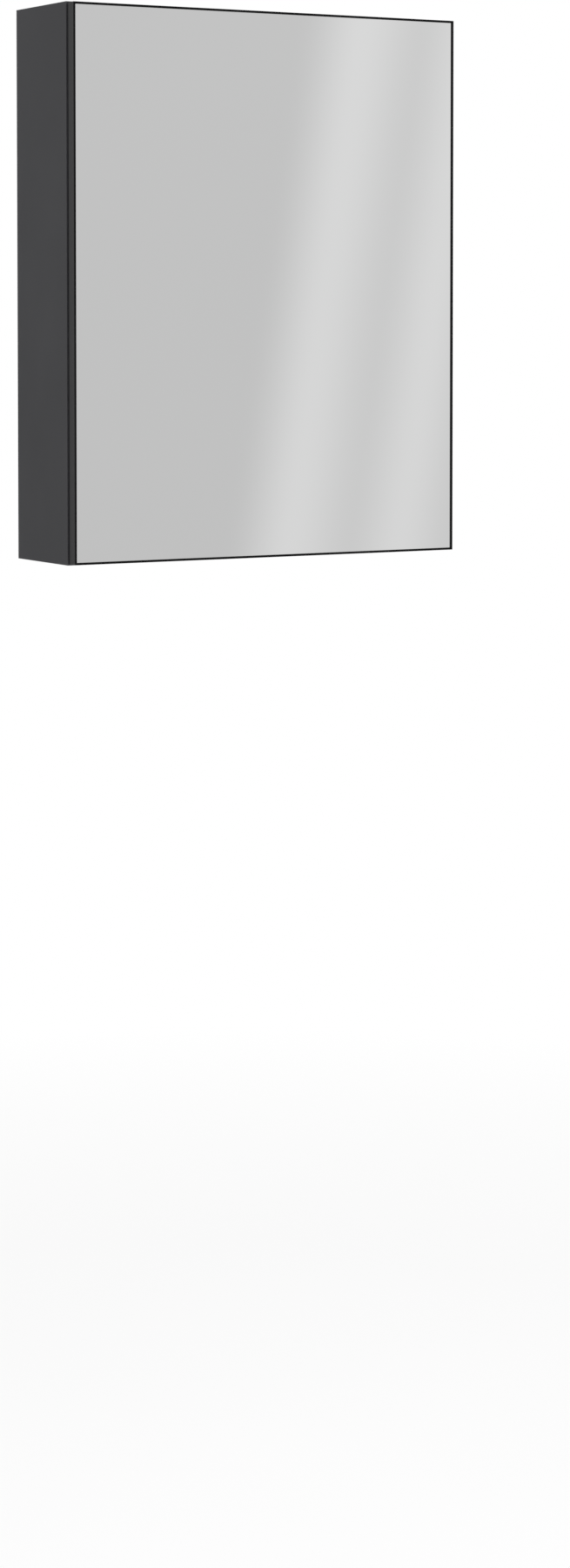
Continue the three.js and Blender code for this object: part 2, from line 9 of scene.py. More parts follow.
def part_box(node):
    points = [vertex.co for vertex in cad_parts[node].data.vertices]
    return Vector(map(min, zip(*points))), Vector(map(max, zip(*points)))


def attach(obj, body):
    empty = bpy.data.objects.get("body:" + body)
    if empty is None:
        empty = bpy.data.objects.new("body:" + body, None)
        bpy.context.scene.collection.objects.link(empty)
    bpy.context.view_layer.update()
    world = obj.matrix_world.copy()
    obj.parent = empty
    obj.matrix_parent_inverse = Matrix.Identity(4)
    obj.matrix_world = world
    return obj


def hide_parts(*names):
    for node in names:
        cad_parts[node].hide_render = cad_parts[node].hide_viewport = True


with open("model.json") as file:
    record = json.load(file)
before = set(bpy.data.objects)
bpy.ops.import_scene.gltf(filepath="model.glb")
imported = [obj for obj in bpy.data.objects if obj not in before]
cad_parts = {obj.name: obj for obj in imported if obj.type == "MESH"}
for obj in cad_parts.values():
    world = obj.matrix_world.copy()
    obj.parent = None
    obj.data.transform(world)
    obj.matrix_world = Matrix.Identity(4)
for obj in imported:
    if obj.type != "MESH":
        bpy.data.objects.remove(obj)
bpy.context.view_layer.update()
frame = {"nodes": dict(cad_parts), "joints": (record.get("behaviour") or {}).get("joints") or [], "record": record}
nodes = frame["nodes"]

# Made pieces are worked out in millimetres, and the stage in metres
MM = 0.001


# ---------------------------------------------------------------- node helpers

class Shader:
    """A small wrapper that adds and links nodes in one material's tree."""

    def __init__(self, name):
        self.material = bpy.data.materials.new(name)
        self.material.use_nodes = True
        self.tree = self.material.node_tree
        self.surface = self.tree.nodes["Principled BSDF"]
        self.output = self.tree.nodes["Material Output"]
        coordinates = self.add("ShaderNodeTexCoord")
        self.place = coordinates.outputs["Object"]
        self.normal = coordinates.outputs["Normal"]

    def add(self, kind, **settings):
        node = self.tree.nodes.new(kind)
        for key, value in settings.items():
            setattr(node, key, value)
        return node

    def link(self, source, target):
        self.tree.links.new(source, target)

    def set(self, **values):
        """Sets the surface's own sockets, with _ for a space in a socket's name."""
        for key, value in values.items():
            self.surface.inputs[key.replace("_", " ")].default_value = value

    def feed(self, **sources):
        """Links sources to the surface's sockets, with _ for a space in a socket's name."""
        for key, source in sources.items():
            self.link(source, self.surface.inputs[key.replace("_", " ")])

    def stretched(self, scale):
        """The object's coordinates, scaled along each axis."""
        mapping = self.add("ShaderNodeMapping")
        mapping.inputs["Scale"].default_value = scale
        self.link(self.place, mapping.inputs["Vector"])
        return mapping.outputs["Vector"]

    def noise(self, scale, detail=3.0, roughness=0.5, vector=None):
        node = self.add("ShaderNodeTexNoise")
        node.inputs["Scale"].default_value = scale
        node.inputs["Detail"].default_value = detail
        node.inputs["Roughness"].default_value = roughness
        self.link(vector or self.place, node.inputs["Vector"])
        return node.outputs["Fac"]

    def spread(self, value, low, high, start=0.3, end=0.7):
        """Maps start..end to low..high. A noise mostly stays between 0.3 and 0.7."""
        node = self.add("ShaderNodeMapRange")
        node.inputs["From Min"].default_value = start
        node.inputs["From Max"].default_value = end
        node.inputs["To Min"].default_value = low
        node.inputs["To Max"].default_value = high
        self.link(value, node.inputs["Value"])
        return node.outputs["Result"]

    def eased(self, value, low, high, start, end):
        """Like spread, with a soft start and end."""
        result = self.spread(value, low, high, start, end)
        result.node.interpolation_type = "SMOOTHSTEP"
        return result

    def math(self, operation, first, second):
        node = self.add("ShaderNodeMath", operation=operation)
        for socket, value in zip(node.inputs, (first, second)):
            if isinstance(value, (int, float)):
                socket.default_value = value
            else:
                self.link(value, socket)
        return node.outputs["Value"]

    def weighted(self, first, second, share):
        """The first value's share and the rest of the second."""
        return self.math("ADD", self.math("MULTIPLY", first, share), self.math("MULTIPLY", second, 1 - share))

    def blend(self, amount, first, second):
        """Mixes two colours, each given as a tuple or as another node's output."""
        node = self.add("ShaderNodeMix", data_type="RGBA")
        self.link(amount, node.inputs["Factor"])
        for socket, colour in ((node.inputs["A"], first), (node.inputs["B"], second)):
            if isinstance(colour, tuple):
                socket.default_value = (*colour, 1)
            else:
                self.link(colour, socket)
        return node.outputs["Result"]

    def facing(self, direction, start=0.55, end=0.95):
        """How much the surface faces a direction in the object's own space."""
        node = self.add("ShaderNodeVectorMath", operation="DOT_PRODUCT")
        self.link(self.normal, node.inputs[0])
        node.inputs[1].default_value = direction
        return self.spread(node.outputs["Value"], 0.0, 1.0, start, end)

    def bump(self, height, distance, strength):
        node = self.add("ShaderNodeBump")
        node.inputs["Distance"].default_value = distance
        node.inputs["Strength"].default_value = strength
        self.link(height, node.inputs["Height"])
        self.link(node.outputs["Normal"], self.surface.inputs["Normal"])


# ---------------------------------------------------------------- materials

def melamine_board():
    """Anthracite melamine-faced board: a fine pearl grain pressed into a matt film."""
    s = Shader("anthracite_melamine")
    cloud = s.noise(scale=9.0, detail=2.0)
    grain = s.noise(scale=1700.0, detail=2.0)
    tone = s.spread(s.weighted(cloud, grain, share=0.45), 0.0, 1.0, start=0.35, end=0.65)
    s.feed(Base_Color=s.blend(tone, (0.0332, 0.0332, 0.0365), (0.0419, 0.0419, 0.0457)),
           Roughness=s.spread(grain, 0.46, 0.6))
    s.bump(grain, distance=0.05 * MM, strength=0.55)
    s.set(Specular_IOR_Level=0.2)
    return s.material


def powder_coat():
    """Black powder coat: dark grey on the profile's sides, and painted shade that turns its narrow forward-facing
    lip a deep matt black.
    """
    s = Shader("black_powder_coat")
    peel = s.noise(scale=2100.0, detail=2.0)
    cloud = s.noise(scale=14.0, detail=2.0)
    # Painted shade: this mask picks the faces that look along -Y in object space, the lip that faces forward
    front = s.facing((0, -1, 0), start=0.2, end=0.6)
    side_tone = s.blend(s.spread(cloud, 0.0, 1.0), (0.032, 0.032, 0.033), (0.035, 0.035, 0.036))
    # The base colour goes from the sides' tone to near black on those faces: painted shade on the front lip
    s.feed(Base_Color=s.blend(front, side_tone, (0.001, 0.001, 0.0012)),
           Roughness=s.spread(peel, 0.36, 0.5))
    s.bump(peel, distance=0.04 * MM, strength=0.6)
    s.set(Specular_IOR_Level=0.1)
    return s.material


def silvered_glass():
    """Silvered float glass: a nearly perfect reflector with the faint unevenness of float glass."""
    s = Shader("silvered_glass")
    drift = s.noise(scale=3.0, detail=1.0)
    ripple = s.noise(scale=40.0, detail=1.0)
    s.feed(Base_Color=s.blend(s.spread(drift, 0.0, 1.0), (0.892, 0.894, 0.893), (0.9, 0.902, 0.901)),
           Roughness=s.spread(ripple, 0.0, 0.012))
    s.set(Metallic=1.0)
    return s.material


def clear_glass():
    """Clear float glass with polished edges, which show the green of the glass's depth."""
    s = Shader("clear_float_glass")
    smear = s.noise(scale=18.0, detail=2.0)
    faces = s.math("MAXIMUM", s.facing((0, 0, 1)), s.facing((0, 0, -1)))
    clear = s.blend(s.spread(smear, 0.0, 1.0), (0.93, 0.975, 0.96), (0.95, 0.985, 0.975))
    s.feed(Base_Color=s.blend(faces, (0.5, 0.8, 0.7), clear),
           Roughness=s.spread(smear, 0.0, 0.03))
    s.set(IOR=1.52, Transmission_Weight=1.0)
    return s.material


def plated_steel():
    """Nickel-plated pressed steel, with faint drawing lines and a mottled plating."""
    s = Shader("nickel_plated_steel")
    lines = s.noise(scale=260.0, vector=s.stretched((1.0, 0.12, 1.0)))
    mottle = s.noise(scale=45.0)
    s.feed(Base_Color=s.blend(s.spread(mottle, 0.0, 1.0), (0.56, 0.555, 0.54), (0.68, 0.675, 0.66)),
           Roughness=s.spread(s.weighted(lines, mottle, share=0.5), 0.2, 0.36))
    s.bump(lines, distance=0.02 * MM, strength=0.4)
    s.set(Metallic=0.82)
    return s.material


def galvanised_steel():
    """Zinc-plated strip for the wall rail and the hooks, with the spangle of the zinc."""
    s = Shader("galvanised_steel")
    spangle = s.add("ShaderNodeTexVoronoi", feature="F1")
    spangle.inputs["Scale"].default_value = 230.0
    s.link(s.place, spangle.inputs["Vector"])
    shade = s.add("ShaderNodeSeparateColor")
    s.link(spangle.outputs["Color"], shade.inputs["Color"])
    grey = shade.outputs["Red"]
    s.feed(Base_Color=s.blend(grey, (0.48, 0.495, 0.51), (0.56, 0.57, 0.58)),
           Roughness=s.spread(grey, 0.34, 0.48, start=0.0, end=1.0))
    s.set(Metallic=1.0)
    return s.material


def moulded_plastic():
    """Grey moulded plastic with a fine spark-eroded texture."""
    s = Shader("grey_plastic")
    grain = s.noise(scale=1300.0, detail=2.0)
    cloud = s.noise(scale=30.0, detail=2.0)
    s.feed(Base_Color=s.blend(s.spread(cloud, 0.0, 1.0), (0.16, 0.165, 0.17), (0.2, 0.205, 0.21)),
           Roughness=s.spread(grain, 0.42, 0.58))
    s.bump(grain, distance=0.04 * MM, strength=0.5)
    return s.material


def clear_rubber():
    """Clear soft polyurethane for the door bumpers."""
    s = Shader("clear_polyurethane")
    haze = s.noise(scale=300.0, detail=2.0)
    s.feed(Base_Color=s.blend(s.spread(haze, 0.0, 1.0), (0.82, 0.84, 0.83), (0.93, 0.94, 0.93)),
           Roughness=s.spread(haze, 0.1, 0.24))
    s.set(IOR=1.49, Transmission_Weight=0.8)
    return s.material


BOARD = melamine_board()
COAT = powder_coat()
MIRROR = silvered_glass()
GLASS = clear_glass()
NICKEL = plated_steel()
ZINC = galvanised_steel()
GREY = moulded_plastic()
RUBBER = clear_rubber()

FINISHES = {
    "anthracite_board": BOARD,
    "black_aluminium": COAT,
    "mirror": MIRROR,
    "shelf_glass": GLASS,
    "zinc_steel": NICKEL,
    "grey_plastic": GREY,
    "clear_rubber": RUBBER,
}


def wear(obj, material):
    obj.data.materials.clear()
    obj.data.materials.append(material)


WELD_DISTANCE = 0.005 * MM
FLAT_ANGLE = math.radians(0.5)      # faces that meet at less than this are one flat area
ROUNDED_ANGLE = math.radians(35)    # edges sharper than this are rounded


def soften(obj, width):
    """Rounds an object's sharp edges, once its faces are joined and its flat areas are single faces."""
    weld = obj.modifiers.new("joined_faces", "WELD")
    weld.merge_threshold = WELD_DISTANCE
    flat = obj.modifiers.new("flat_faces", "DECIMATE")
    flat.decimate_type = "DISSOLVE"
    flat.angle_limit = FLAT_ANGLE
    bevel = obj.modifiers.new("rounded_edges", "BEVEL")
    bevel.width = width
    bevel.segments = 2
    bevel.limit_method = "ANGLE"
    bevel.angle_limit = ROUNDED_ANGLE
    bevel.harden_normals = True
    bevel.use_clamp_overlap = True


ROUNDING = {
    "anthracite_board": 0.5 * MM,
    "black_aluminium": 0.2 * MM,
    "mirror": 0.2 * MM,
    "shelf_glass": 0.8 * MM,
    "grey_plastic": 0.6 * MM,
}
STRIP_ROUNDING = 0.4 * MM      # the wall rail and the hooks
SCREW_ROUNDING = 0.15 * MM     # the hangers' setting screws

for entry in frame["record"]["subparts"]:
    node, slot = nodes[entry["node"]], entry["material_slot"]
    wear(node, FINISHES[slot])
    if slot in ROUNDING:
        soften(node, ROUNDING[slot])
for name in ("wall_rail", "hanger_hook_left", "hanger_hook_right"):
    wear(nodes[name], ZINC)
    soften(nodes[name], STRIP_ROUNDING)
for name in ("height_screw_left", "height_screw_right", "depth_screw_left", "depth_screw_right"):
    soften(nodes[name], SCREW_ROUNDING)


# ---------------------------------------------------------------- mesh helpers, in millimetres

SMOOTH_ANGLE = math.radians(32)
MERGE_DISTANCE = 0.001         # for meshes still in millimetres
CLEAN_DISTANCE = 0.003 * MM    # for the last clean-up, in metres
SLIVER_LENGTH = 0.002 * MM
THROUGH = 9                    # reach of a bore's cutter to each side
FINE_STEPS = 72                # sides of the widest turned shapes
SMALL_STEPS = 32               # sides of screws, rivets and bores
CAP_STEPS = 16                 # points of a half round


def to_object(name, bm):
    """Turns a bmesh in millimetres into an object in metres."""
    bmesh.ops.remove_doubles(bm, verts=bm.verts, dist=MERGE_DISTANCE)
    bmesh.ops.recalc_face_normals(bm, faces=bm.faces)
    bm.transform(Matrix.Scale(MM, 4))
    mesh = bpy.data.meshes.new(name)
    bm.to_mesh(mesh)
    bm.free()
    obj = bpy.data.objects.new(name, mesh)
    bpy.context.scene.collection.objects.link(obj)
    return obj


def smooth(obj):
    """Cleans a finished mesh, closes any gap in it, and shades it smooth except at its sharp edges."""
    mesh = obj.data
    mesh.shade_smooth()
    bm = bmesh.new()
    bm.from_mesh(mesh)
    bmesh.ops.remove_doubles(bm, verts=bm.verts, dist=CLEAN_DISTANCE)
    bmesh.ops.dissolve_degenerate(bm, edges=bm.edges, dist=SLIVER_LENGTH)
    gaps = [edge for edge in bm.edges if edge.is_boundary]
    if gaps:
        bmesh.ops.holes_fill(bm, edges=gaps)
    for edge in bm.edges:
        edge.smooth = edge.is_manifold and edge.calc_face_angle() < SMOOTH_ANGLE
    bm.to_mesh(mesh)
    bm.free()


def facing(direction, place):
    """A matrix that turns local Z towards a direction and moves the origin to a place, in millimetres."""
    turn = Vector(direction).to_track_quat("Z", "Y").to_matrix().to_4x4()
    return Matrix.Translation(Vector(place)) @ turn


def turned(profile, direction, place, steps):
    """A bmesh turned from a profile of (radius, height) points that starts and ends on the axis."""
    bm = bmesh.new()
    rings = []
    for radius, height in profile:
        if radius == 0:
            rings.append([bm.verts.new((0, 0, height))] * steps)
            continue
        turns = [2 * math.pi * i / steps for i in range(steps)]
        rings.append([bm.verts.new((radius * math.cos(t), radius * math.sin(t), height)) for t in turns])
    for low, high in zip(rings, rings[1:]):
        for i in range(steps):
            j = (i + 1) % steps
            corners = list(dict.fromkeys((low[i], low[j], high[j], high[i])))
            if len(corners) > 2:
                bm.faces.new(corners)
    bm.transform(facing(direction, place))
    return bm


def arc(centre, radius, start, end, steps=6):
    """Points of a round corner, in degrees."""
    angles = [math.radians(start + (end - start) * i / steps) for i in range(steps + 1)]
    return [(centre[0] + radius * math.cos(a), centre[1] + radius * math.sin(a)) for a in angles]


def rounded_box(size, radius, corner_steps=6):
    """The outline of a rectangle with round corners, centred on the origin."""
    x, y = size[0] / 2 - radius, size[1] / 2 - radius
    corners = [(x, y, 0), (-x, y, 90), (-x, -y, 180), (x, -y, 270)]
    return [p for cx, cy, a in corners for p in arc((cx, cy), radius, a, a + 90, corner_steps)]


def raised(outline, low, high, edge=0.0, turn=None):
    """A bmesh of an outline between two heights along local Z, with its edges rounded by edge."""
    bm = bmesh.new()
    bottom = bm.faces.new([bm.verts.new((x, y, low)) for x, y in outline])
    lifted = bmesh.ops.extrude_face_region(bm, geom=[bottom])
    verts = [g for g in lifted["geom"] if isinstance(g, bmesh.types.BMVert)]
    bmesh.ops.translate(bm, verts=verts, vec=(0, 0, high - low))
    if edge:
        rims = [e for e in bm.edges if abs(e.verts[0].co.z - e.verts[1].co.z) < 1e-6]
        bmesh.ops.bevel(bm, geom=rims, offset=edge, segments=3, profile=0.5, affect="EDGES")
    if turn is not None:
        bm.transform(turn)
    return bm


def bore_cutter(radius, direction, place, reach=THROUGH, steps=SMALL_STEPS):
    """A round bar that reaches as far to each side of a place."""
    profile = [(0, -reach), (radius, -reach), (radius, reach), (0, reach)]
    return to_object("bore", turned(profile, direction, place, steps))


def boolean(operation, base, *tools):
    """Joins or cuts objects and leaves the result in the first one."""
    for tool in tools:
        step = base.modifiers.new("step", "BOOLEAN")
        step.operation, step.object, step.solver = operation, tool, "EXACT"
        graph = bpy.context.evaluated_depsgraph_get()
        made = bpy.data.meshes.new_from_object(base.evaluated_get(graph))
        base.modifiers.clear()
        old, base.data = base.data, made
        bpy.data.meshes.remove(old)
        bpy.data.objects.remove(tool)
    return base


def add_piece(obj, body, slot, material, *stands_for):
    """Finishes an object as a piece that rides a body and takes the place of CAD nodes."""
    wear(obj, material)
    smooth(obj)
    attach(obj, body)
    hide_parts(*stands_for)


def box_mm(node):
    """A CAD node's low and high corners, in millimetres."""
    low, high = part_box(node)
    return low / MM, high / MM


# ---------------------------------------------------------------- screws

RECESS_REACH = 0.62            # the cross's half-length, of the head's radius
RECESS_DEPTH = 0.6             # of the head's height
RECESS_BAR = 0.17              # a bar's half-width, of its half-length
RECESS_FOOT = (0.62, 0.7)      # a bar's foot, of its top
RECESS_CLEAR = 0.3             # how far the cutter stands above the head


def cross_recess(direction, place, reach, depth):
    """A cutter for a cross recess: two crossed bars that narrow towards their foot."""
    arms = []
    for across in (0, 90):
        bm = bmesh.new()
        half = reach * RECESS_BAR
        top = [(-reach, -half), (reach, -half), (reach, half), (-reach, half)]
        foot = [(x * RECESS_FOOT[0], y * RECESS_FOOT[1]) for x, y in top]
        high = [bm.verts.new((x, y, RECESS_CLEAR)) for x, y in top]
        low = [bm.verts.new((x, y, -depth)) for x, y in foot]
        bm.faces.new(high)
        bm.faces.new(low[::-1])
        for i in range(4):
            j = (i + 1) % 4
            bm.faces.new((low[i], low[j], high[j], high[i]))
        bm.transform(facing(direction, place) @ Matrix.Rotation(math.radians(across), 4, "Z"))
        arms.append(to_object("recess", bm))
    return arms


HEAD_RISE = 0.45               # the head's straight side, of its height
HEAD_UNDERCUT = (0.94, 0.12)   # the chamfer below the head, of its radius and height
THREAD_CORE = 0.82             # of the shank's radius
THREAD_PITCH = 1.3
THREAD_START = 1.2             # from the screw's point
THREAD_MARGIN = 1.6            # the part of the shank without a thread
RIDGE = 0.5                    # one ridge's length


def pan_head(head_radius, head_height, shank_radius, length):
    """The profile of a screw with a domed head, from its point up to the top of the head."""
    rise = head_height * HEAD_RISE
    dome = [(head_radius * math.cos(t), rise + (head_height - rise) * math.sin(t))
            for t in [math.pi / 2 * i / 6 for i in range(7)]]
    dome[-1] = (0, head_height)
    core = shank_radius * THREAD_CORE
    ridges = []
    count = max(2, int(length / THREAD_PITCH))
    for i in range(count):
        foot = -length + THREAD_START + (length - THREAD_MARGIN) * i / count
        ridges += [(core, foot), (shank_radius, foot + RIDGE / 2), (core, foot + RIDGE)]
    return [(0, -length), *ridges, (core, 0), (head_radius * HEAD_UNDERCUT[0], 0),
            (head_radius, head_height * HEAD_UNDERCUT[1]), *dome]


def make_screw(node, axis, sizes, body):
    """A screw in the place of a CAD screw whose head points to the low (-1) or high (1) end of an axis."""
    head_radius, head_height, shank_radius = sizes
    low, high = box_mm(node)
    index, sign = "XYZ".index(axis[0]), axis[1]
    middle = (low + high) / 2
    direction = Vector((0, 0, 0))
    direction[index] = sign
    top = high[index] if sign > 0 else low[index]
    seat = middle.copy()
    seat[index] = top - sign * head_height
    length = high[index] - low[index] - head_height
    profile = pan_head(head_radius, head_height, shank_radius, length)
    screw = to_object(f"{node}_detail", turned(profile, direction, seat, SMALL_STEPS))
    crown = middle.copy()
    crown[index] = top
    recess = cross_recess(direction, crown, head_radius * RECESS_REACH, head_height * RECESS_DEPTH)
    boolean("DIFFERENCE", screw, *recess)
    add_piece(screw, body, "zinc_steel", NICKEL, node)


# Head radius, head height and shank radius
ARM_SCREW = (3.6, 1.8, 2.0)
PLATE_SCREW = (3.4, 1.8, 1.6)
CUP_SCREW = (3.2, 1.4, 1.6)


def make_screws():
    for level in ("lower", "upper"):
        for kind in ("fixing", "side_adjust"):
            make_screw(f"hinge_{kind}_screw_{level}", ("X", -1), ARM_SCREW, "carcass")
        for end in ("bottom", "top"):
            make_screw(f"plate_screw_{level}_{end}", ("X", -1), PLATE_SCREW, "carcass")
            make_screw(f"cup_screw_{level}_{end}", ("Y", 1), CUP_SCREW, "door")


# ---------------------------------------------------------------- hinges

pivots = {joint["name"]: Vector(joint["pos_m"]) / MM for joint in frame["joints"]}
ARM_PIVOT = pivots["hinge_link_swing"]
CUP_PIVOT = pivots["door_swing"]
arm_low, arm_high = box_mm("hinge_arm_lower")


def tenth(value):
    """A size read from the frame, free of its storage noise."""
    return round(value, 1)


def beside(pivot, x, y):
    """A point at a distance from a pivot, seen from above."""
    return round(pivot.x + x, 2), round(pivot.y + y, 2)


POT_RADIUS = 17.3
POT_INNER = 16.5
POT_FLOOR = 0.8
POT_CORNER = 1.6
RING_RADIUS = 18.7             # the flange round the pot
RING_ROUNDING = 0.4
MOUTH_ROUNDING = 0.5
RING_CUT = 15.5                # the ring is cut flat this far from its middle, next to the door's edge
CUT_SIZE = (40, 10)
CUT_REACH = 30
FLANGE_THICKNESS = 1.2
WINGS_WIDTH = 17.5             # the pressed wings that hold the cup's screws
WINGS_CORNER = 5.0
WINGS_ROUNDING = 0.35
WINGS_SHIFT = 3.25             # their middle is this far from the screws' line, towards the hinge side
SCREW_OFFSET = 5.0             # the cup's screws stand this far from its middle, towards the free edge
SCREW_RISE = 22.6
SCREW_HOLE = 1.9
THREAD_HOLE = 2.3
KNUCKLE_RADIUS = 2.6
KNUCKLE_HALF = 3.6
KNUCKLE_ROUNDING = 0.3
PIVOT_BORE = 1.4
PIVOT_RADIUS = 1.1

CHEEKS = (4.0, 5.4)            # a link's cheek, inside and outside, from the link's middle
CHEEK_ROUNDING = 0.2
LINK_HALF_WIDTH = 1.5
LINK_EYE = 0.5                 # the link's ends are this much wider
LINK_BENDS = [beside(ARM_PIVOT, 3.45, -11.2), beside(CUP_PIVOT, -6.8, -2.2)]
BRIDGE_SPAN = (0.1, 0.5, 0.9)  # the bridge's points, as parts of the way between the bends
BRIDGE_HALF = 0.7
BRIDGE_INSET = 0.2
RIVET_HEAD = 1.7
RIVET_DOME = 0.35

SHEET = 1.4                    # thickness of the arm's steel
ARM_FACE, ARM_INNER, ARM_REAR = tenth(arm_low.x), tenth(arm_high.x), tenth(arm_high.y)
ARM_FRONT = tenth(ARM_PIVOT.y + 5.8)
ARM_NECK = tenth(box_mm("hinge_plate_lower")[0].y)
ARM_HALF_HEIGHT = tenth((arm_high.z - arm_low.z) / 2)
ARM_ROUNDING = 0.7
ARM_CORNER = 2.5
SHOULDER_STEPS = 8
RIB_LENGTH, RIB_WIDTH = 21.0, 7.0
RIB_MIDDLE = ARM_NECK + 7.5
RIB_DEPTH = 0.5
NOSE_RADIUS = 2.8
NOSE_ROOT = 3                  # the nose starts this far inside the channel
NOSE_INSET = 0.4
NOSE_SLACK = 0.6               # how much taller the channel's mouth is than the nose
SLOT_WIDTH = 4.6
SLOT_LENGTHS = {"fixing": 9.5, "side_adjust": 6.0}

PLATE_BODY_HEIGHT = 17.0
PLATE_CORNER = 3.5
PLATE_ROUNDING = 0.8
WING_WIDTH = 14.0              # the mounting plate's wings
WING_THICKNESS = 3.0
WING_ROUNDING = 0.6


def make_cup(level):
    """The drawn steel pot with its flange and the knuckle that holds the link's pin."""
    node = f"hinge_cup_{level}"
    low, high = box_mm(node)
    height = (low.z + high.z) / 2
    middle = low.x + RING_RADIUS
    depth = high.y - low.y
    corner = arc((POT_RADIUS - POT_CORNER, POT_CORNER), POT_CORNER, -90, 0)
    inner_corner = arc((POT_INNER - POT_CORNER, POT_CORNER + POT_FLOOR), POT_CORNER, 0, -90)
    rim = [(POT_RADIUS, depth - FLANGE_THICKNESS), (RING_RADIUS, depth - FLANGE_THICKNESS),
           (RING_RADIUS, depth - RING_ROUNDING), (RING_RADIUS - RING_ROUNDING, depth),
           (POT_INNER + MOUTH_ROUNDING, depth), (POT_INNER, depth - MOUTH_ROUNDING)]
    profile = [(0, 0), *corner, *rim, *inner_corner, (0, POT_FLOOR)]
    to_wall = (0, 1, 0)
    cup = to_object(f"{node}_detail", turned(profile, to_wall, (middle, low.y, height), FINE_STEPS))

    # The pressed wings, as a plate with round corners
    outline = rounded_box((WINGS_WIDTH, high.z - low.z), WINGS_CORNER)
    plate_turn = Matrix.Translation((middle - SCREW_OFFSET + WINGS_SHIFT, high.y, height)) @ Matrix.Rotation(
        math.radians(90), 4, "X")
    wings = to_object("wings", raised(outline, 0, FLANGE_THICKNESS, WINGS_ROUNDING, plate_turn))
    mouth = bore_cutter(POT_INNER + 0.2, to_wall, (middle, high.y, height), 5, FINE_STEPS)
    boolean("DIFFERENCE", wings, mouth)
    trim_place = Matrix.Translation((middle + RING_CUT + CUT_SIZE[0] / 2,
                                     high.y - FLANGE_THICKNESS + CUT_SIZE[1] / 2, height))
    trim = to_object("trim", raised(rounded_box(CUT_SIZE, 0.5), -CUT_REACH, CUT_REACH, 0, trim_place))
    boolean("DIFFERENCE", cup, trim)
    boolean("UNION", cup, wings)

    x, y = CUP_PIVOT.x, CUP_PIVOT.y
    foot = low.y + POT_FLOOR / 2
    lug = [(x - KNUCKLE_RADIUS, foot), (x + KNUCKLE_RADIUS, foot),
           *arc((x, y), KNUCKLE_RADIUS, 0, 180, CAP_STEPS)]
    knuckle = raised(lug, height - KNUCKLE_HALF, height + KNUCKLE_HALF, KNUCKLE_ROUNDING)
    boolean("UNION", cup, to_object("knuckle", knuckle))
    cutters = [bore_cutter(PIVOT_BORE, (0, 0, 1), (x, y, height))]
    for sign in (-1, 1):
        at = (middle - SCREW_OFFSET, high.y, height + sign * SCREW_RISE)
        cutters.append(bore_cutter(SCREW_HOLE, to_wall, at, 3))
    boolean("DIFFERENCE", cup, *cutters)
    add_piece(cup, "door", "zinc_steel", NICKEL, node)


CAP_SWEEP = 100                # degrees that a strip's round end goes to each side
SHARPEST_WIDENING = 0.5        # limits how far a strip's outline runs out at a bend


def ribbon(points, half_width, end_radius):
    """The outline of a strip that follows a line of points, with round ends."""
    left, right, caps = [], [], []
    for i, point in enumerate(points):
        here = Vector(point)
        before = (here - Vector(points[i - 1])).normalized() if i else None
        after = (Vector(points[i + 1]) - here).normalized() if i < len(points) - 1 else None
        along = ((before or after) + (after or before)).normalized()
        normal = Vector((-along.y, along.x))
        part = before or after
        across = Vector((-part.y, part.x))
        widen = half_width / max(SHARPEST_WIDENING, normal.dot(across))
        if before and after:
            left.append(here + normal * widen)
            right.append(here - normal * widen)
            continue
        ahead = along if before else -along
        base = math.degrees(math.atan2(ahead.y, ahead.x))
        cap = arc(point, end_radius, base - CAP_SWEEP, base + CAP_SWEEP, CAP_STEPS)
        caps.append([Vector(p) for p in cap])
    return [*caps[0], *right, *caps[1], *left[::-1]]


def make_link(level):
    """A pressed link: two cheeks joined by a bridge, with a domed rivet at each end."""
    node = f"hinge_link_{level}"
    low, high = box_mm(node)
    height = (low.z + high.z) / 2
    path = [tuple(ARM_PIVOT.xy), *LINK_BENDS, tuple(CUP_PIVOT.xy)]
    outline = ribbon(path, LINK_HALF_WIDTH, LINK_HALF_WIDTH + LINK_EYE)
    inner, outer = CHEEKS
    plate = outer - RIVET_DOME
    cheeks = [to_object("cheek", raised(outline, height + a, height + b, CHEEK_ROUNDING))
              for a, b in ((inner, plate), (-plate, -inner))]
    first, last = Vector(LINK_BENDS[0]), Vector(LINK_BENDS[1])
    bar = ribbon([tuple(first.lerp(last, t)) for t in BRIDGE_SPAN], BRIDGE_HALF, BRIDGE_HALF)
    reach = plate - BRIDGE_INSET
    bridge = to_object("bridge", raised(bar, height - reach, height + reach))
    link = boolean("UNION", cheeks[0], cheeks[1], bridge)
    for pivot in (ARM_PIVOT, CUP_PIVOT):
        head = [(RIVET_HEAD, plate), (RIVET_HEAD * 0.9, plate + RIVET_DOME * 0.6),
                (RIVET_HEAD * 0.5, outer - 0.03), (0, outer)]
        shank = [(PIVOT_RADIUS, inner), (PIVOT_RADIUS, plate)]
        upper = [*shank, *head]
        profile = [(r, -h) for r, h in upper[::-1]] + upper
        rivet = turned(profile, (0, 0, 1), (pivot.x, pivot.y, height), SMALL_STEPS)
        boolean("UNION", link, to_object("rivet", rivet))
    link.name = f"{node}_detail"
    add_piece(link, "hinge_links", "zinc_steel", NICKEL, node)


def arm_outline(margin=0.0):
    """The arm's outline seen from inside the cabinet, as distance from the wall and height."""
    half, nose = ARM_HALF_HEIGHT - margin, KNUCKLE_HALF + NOSE_SLACK - margin
    rear, front, neck = -ARM_REAR + margin, -ARM_FRONT - margin, -ARM_NECK
    steps = [i / SHOULDER_STEPS for i in range(SHOULDER_STEPS + 1)]
    shoulder = [(front + (neck - front) * t, nose + (half - nose) * (1 - math.cos(math.pi * t)) / 2)
                for t in steps]
    corner = arc((rear + ARM_CORNER, half - ARM_CORNER), ARM_CORNER, 90, 180)
    upper = [*shoulder, *corner]
    return upper + [(u, -v) for u, v in upper[::-1]]


